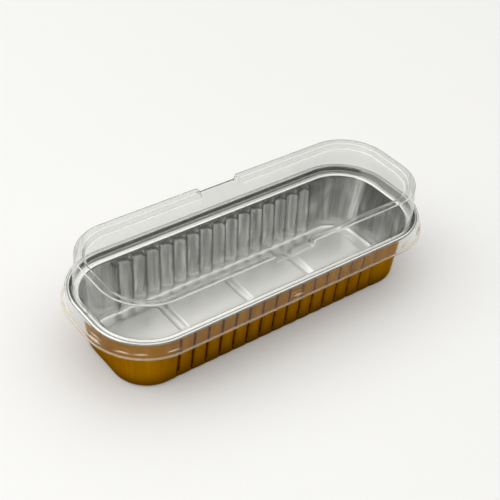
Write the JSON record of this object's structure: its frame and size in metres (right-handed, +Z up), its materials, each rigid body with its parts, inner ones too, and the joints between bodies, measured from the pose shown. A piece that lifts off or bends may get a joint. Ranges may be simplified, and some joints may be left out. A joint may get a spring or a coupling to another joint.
{
  "type": "rectangular foil baking cup",
  "caption": "Narrow foil baking cup with round corners, fluted long walls, grooved floor and rolled rim, closed by a clear push-on dome lid with a flared skirt that lifts straight off.",
  "frame": {"origin": "middle of the underside, on the surface that the cup stands on", "axes": "+Z up out of the cup and the way the lid lifts, +X along the length, +Y across the width"},
  "size_m": [0.165, 0.0652, 0.0463],
  "materials": {
    "lacquered_foil": "gold lacquer outside, bright bare foil inside and on the rim",
    "clear_sheet": "clear gloss thermoformed sheet"
  },
  "bodies": {
    "cup": {"foil_cup": "lacquered_foil"},
    "lid": {"dome_lid": "clear_sheet"}
  },
  "joints": [
    {"name": "lid_lift", "type": "slide", "parent": "cup", "child": "lid", "axis": [0, 0, 1], "range_m": [0, 0.05]}
  ]
}
